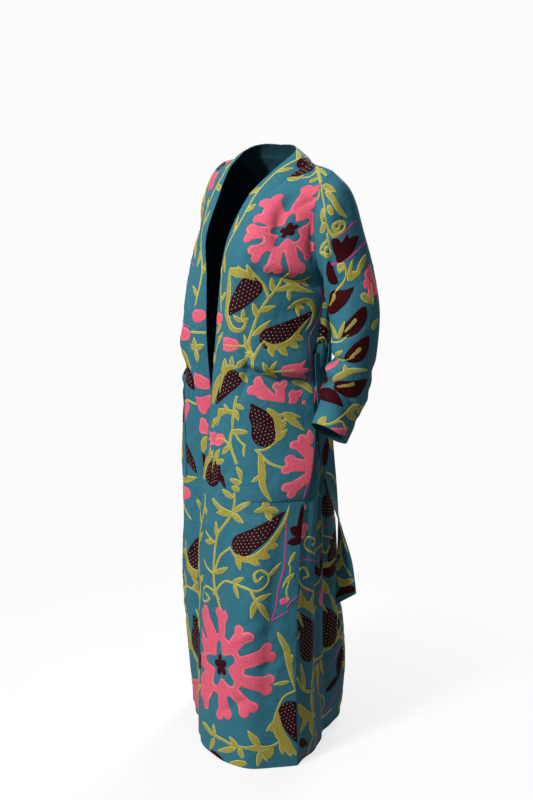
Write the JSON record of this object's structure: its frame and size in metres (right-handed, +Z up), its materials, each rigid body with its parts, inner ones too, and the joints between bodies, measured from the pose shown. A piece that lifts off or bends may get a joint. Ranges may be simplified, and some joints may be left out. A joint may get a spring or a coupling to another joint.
{
  "type": "duster coat",
  "caption": "Floor-length open-front duster coat in embroidered cotton, worn with no wearer: long sleeves, front band, patch pockets, belt.",
  "frame": {"origin": "between the neck points of the two shoulder seams, where the wearer holds the coat up", "axes": "+Z up, the wearer faces -Y, +X is the wearer's left; the hem touches the floor at z -1.424"},
  "size_m": [0.597, 0.4933, 1.4641],
  "materials": {
    "ground": "plain woven teal cotton, dull, with chain-stitch embroidery in coral pink, burgundy and olive",
    "belt_cloth": "the same teal cotton, embroidered in coral pink, burgundy and olive"
  },
  "bodies": {
    "root": {"back": "ground", "front_left": "ground", "front_right": "ground", "sleeve_left": "ground", "sleeve_right": "ground", "band_left": "ground", "band_right": "ground", "pocket_left": "ground", "pocket_right": "ground", "belt_back": "belt_cloth", "belt_loop_left": "belt_cloth", "belt_loop_right": "belt_cloth", "belt_end_left": "belt_cloth", "belt_end_right": "belt_cloth"}
  },
  "joints": []
}
